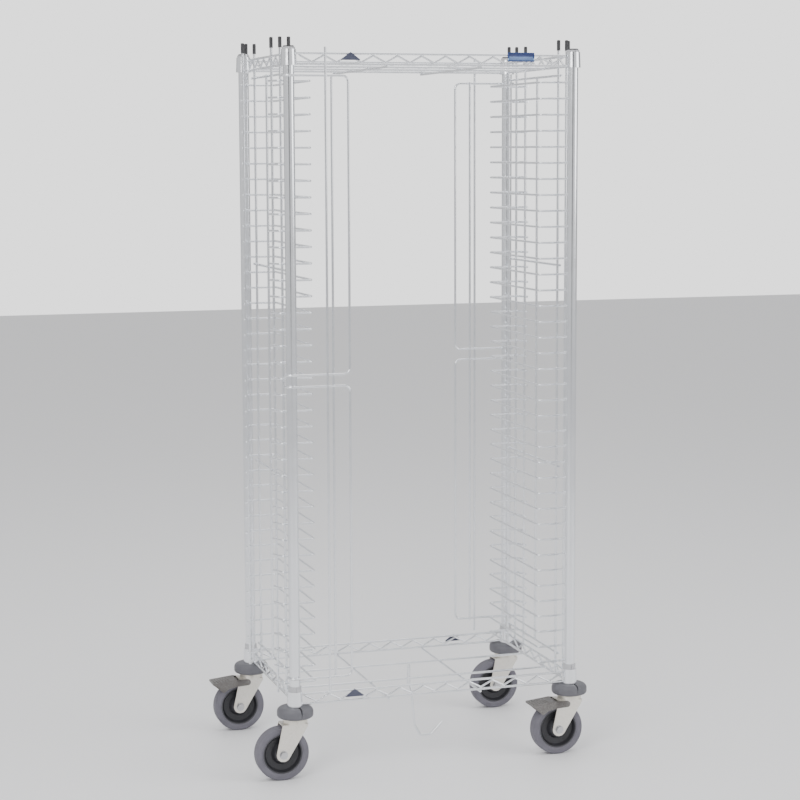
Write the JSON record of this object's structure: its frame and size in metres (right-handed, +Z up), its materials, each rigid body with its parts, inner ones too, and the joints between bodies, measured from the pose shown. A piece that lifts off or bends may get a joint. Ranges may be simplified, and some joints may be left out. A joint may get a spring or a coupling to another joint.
{
  "type": "sheet pan rack",
  "caption": "Tall wire sheet pan rack: four posts, stacked wire ledges on both sides, trussed top and bottom frames, swing gates, tow hook, swivel casters.",
  "frame": {"origin": "on the floor, midway between the four posts", "axes": "+Z up, -Y the front where pans go in, +X the right-hand side seen from the front"},
  "size_m": [0.839, 0.532, 1.726],
  "materials": {
    "black_plastic": "satin moulded plastic",
    "sleeve_plastic": "grey moulded sleeve",
    "grey_bumper": "moulded grey rubber",
    "grey_tyre": "grey rubber tread",
    "black_hub": "moulded wheel centre",
    "zinc_plate": "bright zinc plate, faintly warm",
    "steel": "machined steel",
    "dark_pedal": "dark coated steel",
    "dark_marker": "dark blue enamel",
    "blue_label": "blue label holder",
    "chrome_wire": "bright nickel-chrome plate"
  },
  "bodies": {
    "rack": {"bottom_back_rail": "chrome_wire", "bottom_collars": "chrome_wire", "bottom_cross_wires": "chrome_wire", "bottom_end_rails": "chrome_wire", "bottom_front_rail": "chrome_wire", "caster_stems": "steel", "corner_bumpers": "grey_bumper", "label_holder": "blue_label", "left_ledges": "chrome_wire", "left_side_bars": "chrome_wire", "left_upright_rods": "chrome_wire", "post_back_left": "chrome_wire", "post_back_right": "chrome_wire", "post_caps": "black_plastic", "post_front_left": "chrome_wire", "post_front_right": "chrome_wire", "rail_markers": "dark_marker", "right_ledges": "chrome_wire", "right_side_bars": "chrome_wire", "right_upright_rods": "chrome_wire", "rod_caps": "black_plastic", "split_sleeves": "sleeve_plastic", "swivel_balls": "steel", "swivel_races": "zinc_plate", "top_back_rail": "chrome_wire", "top_collars": "chrome_wire", "top_cross_wires": "chrome_wire", "top_end_rails": "chrome_wire", "top_front_rail": "chrome_wire"},
    "swivel_front_left": {"fork_front_left": "zinc_plate", "axle_front_left": "steel"},
    "wheel_front_left": {"tyre_front_left": "grey_tyre", "hub_front_left": "black_hub", "wheel_bearings_front_left": "steel"},
    "swivel_front_right": {"fork_front_right": "zinc_plate", "axle_front_right": "steel"},
    "wheel_front_right": {"tyre_front_right": "grey_tyre", "hub_front_right": "black_hub", "wheel_bearings_front_right": "steel"},
    "brake_front_right": {"brake_pedal_front_right": "dark_pedal", "brake_shoe_front_right": "black_plastic"},
    "swivel_back_left": {"fork_back_left": "zinc_plate", "axle_back_left": "steel"},
    "wheel_back_left": {"tyre_back_left": "grey_tyre", "hub_back_left": "black_hub", "wheel_bearings_back_left": "steel"},
    "brake_back_left": {"brake_pedal_back_left": "dark_pedal", "brake_shoe_back_left": "black_plastic"},
    "swivel_back_right": {"fork_back_right": "zinc_plate", "axle_back_right": "steel"},
    "wheel_back_right": {"tyre_back_right": "grey_tyre", "hub_back_right": "black_hub", "wheel_bearings_back_right": "steel"},
    "front_gate": {"front_gate": "chrome_wire"},
    "back_gate": {"back_gate": "chrome_wire"},
    "tow_hook": {"tow_hook": "chrome_wire"}
  },
  "joints": [
    {"name": "swivel_front_left", "type": "hinge", "parent": "rack", "child": "swivel_front_left", "pos_m": [-0.346, -0.223, 0.135], "axis": [0, 0, 1], "continuous": true},
    {"name": "wheel_front_left", "type": "hinge", "parent": "swivel_front_left", "child": "wheel_front_left", "pos_m": [-0.38, -0.223, 0.0635], "axis": [0, 1, 0], "continuous": true},
    {"name": "swivel_front_right", "type": "hinge", "parent": "rack", "child": "swivel_front_right", "pos_m": [0.346, -0.223, 0.135], "axis": [0, 0, 1], "continuous": true},
    {"name": "wheel_front_right", "type": "hinge", "parent": "swivel_front_right", "child": "wheel_front_right", "pos_m": [0.312, -0.223, 0.0635], "axis": [0, 1, 0], "continuous": true},
    {"name": "brake_front_right", "type": "hinge", "parent": "swivel_front_right", "child": "brake_front_right", "pos_m": [0.332, -0.223, 0.126], "axis": [0, -1, 0], "range_deg": [0, 5]},
    {"name": "swivel_back_left", "type": "hinge", "parent": "rack", "child": "swivel_back_left", "pos_m": [-0.346, 0.223, 0.135], "axis": [0, 0, 1], "continuous": true},
    {"name": "wheel_back_left", "type": "hinge", "parent": "swivel_back_left", "child": "wheel_back_left", "pos_m": [-0.38, 0.223, 0.0635], "axis": [0, 1, 0], "continuous": true},
    {"name": "brake_back_left", "type": "hinge", "parent": "swivel_back_left", "child": "brake_back_left", "pos_m": [-0.36, 0.223, 0.126], "axis": [0, -1, 0], "range_deg": [0, 5]},
    {"name": "swivel_back_right", "type": "hinge", "parent": "rack", "child": "swivel_back_right", "pos_m": [0.346, 0.223, 0.135], "axis": [0, 0, 1], "continuous": true},
    {"name": "wheel_back_right", "type": "hinge", "parent": "swivel_back_right", "child": "wheel_back_right", "pos_m": [0.312, 0.223, 0.0635], "axis": [0, 1, 0], "continuous": true},
    {"name": "front_gate_hinge", "type": "hinge", "parent": "rack", "child": "front_gate", "pos_m": [-0.346, -0.223, 0.93], "axis": [0, 0, -1], "range_deg": [0, 170]},
    {"name": "back_gate_hinge", "type": "hinge", "parent": "rack", "child": "back_gate", "pos_m": [0.346, 0.223, 0.93], "axis": [0, 0, -1], "range_deg": [0, 170]},
    {"name": "tow_hook_swing", "type": "hinge", "parent": "rack", "child": "tow_hook", "pos_m": [-0.015, -0.074, 0.176], "axis": [1, 0, 0], "range_deg": [-60, 60]}
  ]
}
